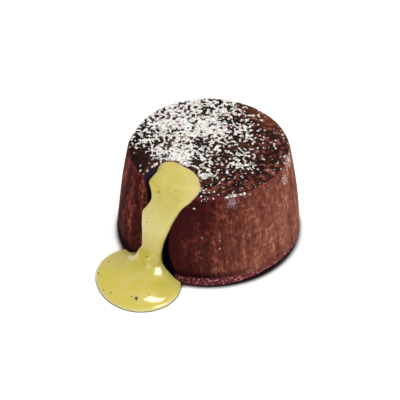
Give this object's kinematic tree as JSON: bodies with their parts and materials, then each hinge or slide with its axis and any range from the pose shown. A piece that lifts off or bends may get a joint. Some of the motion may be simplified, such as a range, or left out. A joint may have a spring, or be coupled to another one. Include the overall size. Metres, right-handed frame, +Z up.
{
  "type": "lava cake",
  "caption": "Small round chocolate lava cake dusted with icing sugar, broken open at the front so that pale yellow custard runs down into a pool.",
  "frame": {"origin": "where the cake's axis meets its flat base, on the surface that it stands on", "axes": "+Z up; the custard runs out towards -Y, so +Y is the unbroken back; +X is to the right when the custard faces the viewer"},
  "size_m": [0.0744, 0.0978, 0.042],
  "materials": {
    "chocolate_sponge": "baked dark chocolate sponge with a fine open crumb, dusted with white icing sugar on top",
    "custard": "glossy pale yellow custard with a few dark vanilla specks"
  },
  "bodies": {
    "root": {"cake_body": "chocolate_sponge", "molten_custard": "custard"}
  },
  "joints": []
}
